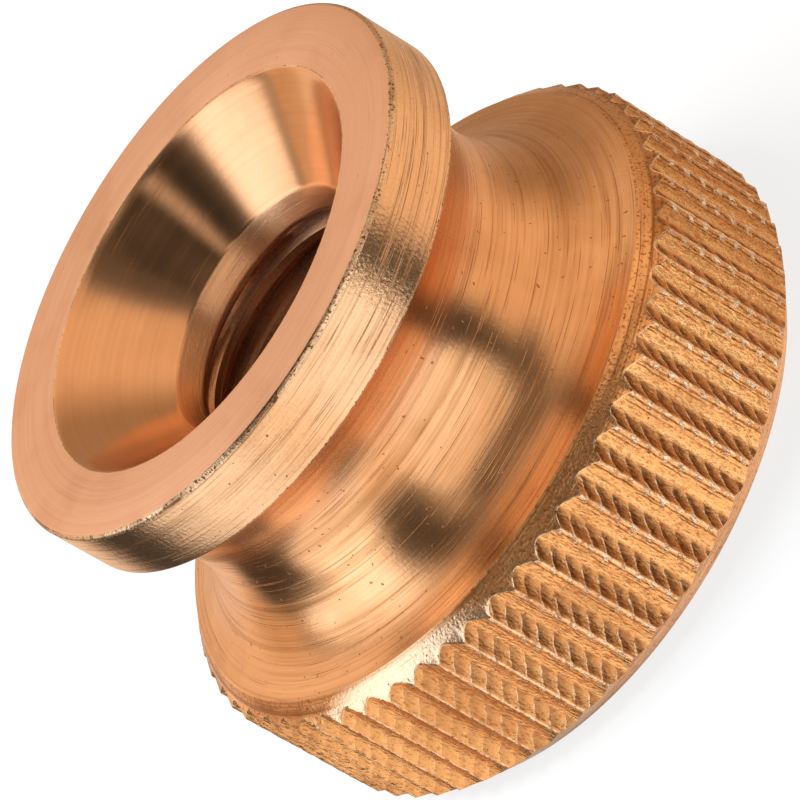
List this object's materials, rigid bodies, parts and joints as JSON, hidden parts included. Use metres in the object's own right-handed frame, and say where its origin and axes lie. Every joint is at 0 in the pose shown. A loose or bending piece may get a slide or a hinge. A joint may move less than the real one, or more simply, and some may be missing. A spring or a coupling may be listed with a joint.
{
  "type": "knurled thumb nut",
  "caption": "Turned brass thumb nut with a straight-knurled rim, a concave waist, a countersunk flange and a threaded bore through it.",
  "frame": {"origin": "centre of the flat seat under the knurled rim, on the axis of the bore", "axes": "+Z along the bore, from the seat towards the countersunk flange; X and Y are free, with a knurl crest on +X"},
  "size_m": [0.02, 0.02, 0.0133],
  "materials": {
    "brass": "turned, satin to bright, reddish brass"
  },
  "bodies": {
    "root": {"thumb_nut": "brass"}
  },
  "joints": []
}
